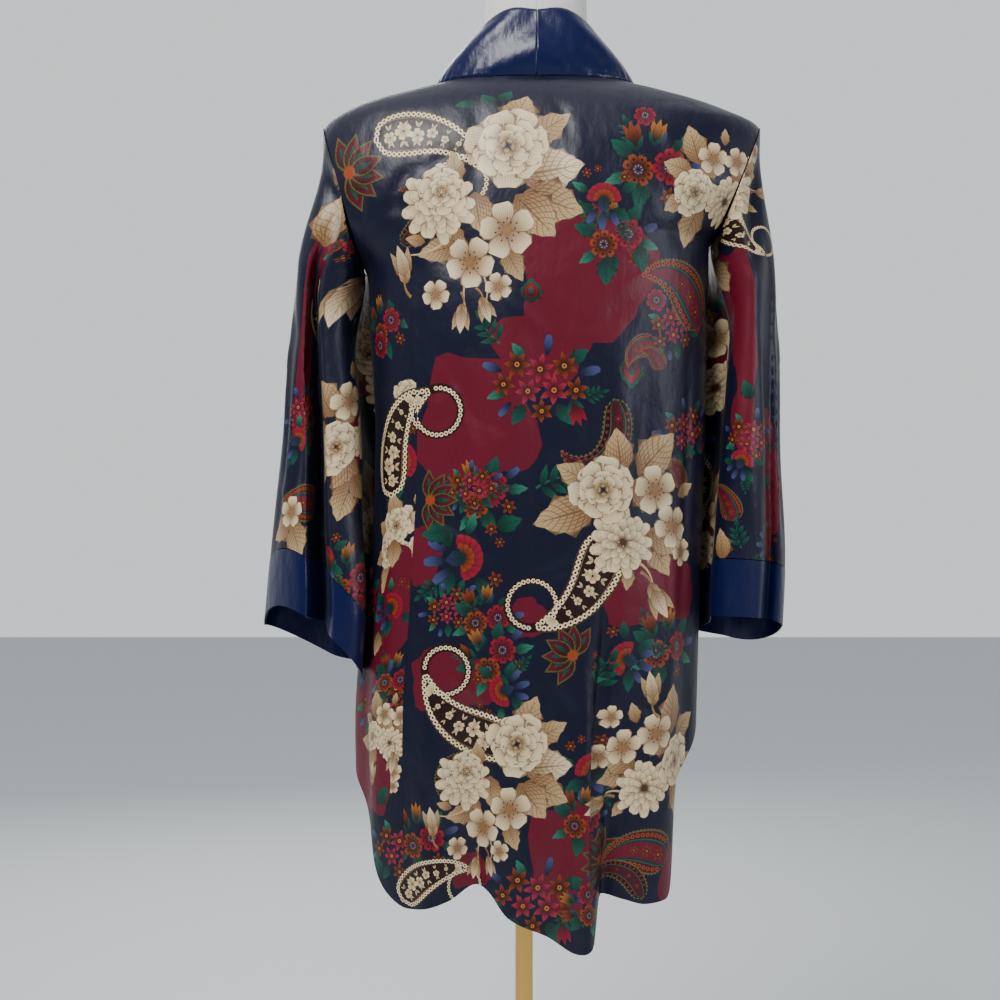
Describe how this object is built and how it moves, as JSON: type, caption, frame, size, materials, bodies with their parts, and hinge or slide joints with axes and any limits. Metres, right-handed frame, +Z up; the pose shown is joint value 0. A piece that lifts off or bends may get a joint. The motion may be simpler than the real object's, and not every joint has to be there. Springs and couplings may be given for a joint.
{
  "type": "kimono robe on dress form",
  "caption": "Short satin kimono robe with wide sleeves, plain band and cuffs, worn open on a limbless dress form on a round-footed pole.",
  "frame": {"origin": "centre of the round foot's underside, on the floor under the pole", "axes": "+Z up along the pole, -Y out of the robe's open front, +X towards the wearer's left sleeve"},
  "size_m": [0.5625, 0.33, 1.524],
  "materials": {
    "printed_satin": "satin, printed with flowers and paisleys on navy and crimson",
    "navy_satin": "plain satin",
    "form_linen": "matt woven cover",
    "stand_brass": "polished"
  },
  "bodies": {
    "root": {"back": "printed_satin", "front_left": "printed_satin", "front_right": "printed_satin", "sleeve_left": "printed_satin", "sleeve_right": "printed_satin", "cuff_left": "navy_satin", "cuff_right": "navy_satin", "band_left": "navy_satin", "band_right": "navy_satin", "form_body": "form_linen", "pole": "stand_brass", "pole_socket": "stand_brass", "base": "stand_brass"}
  },
  "joints": []
}
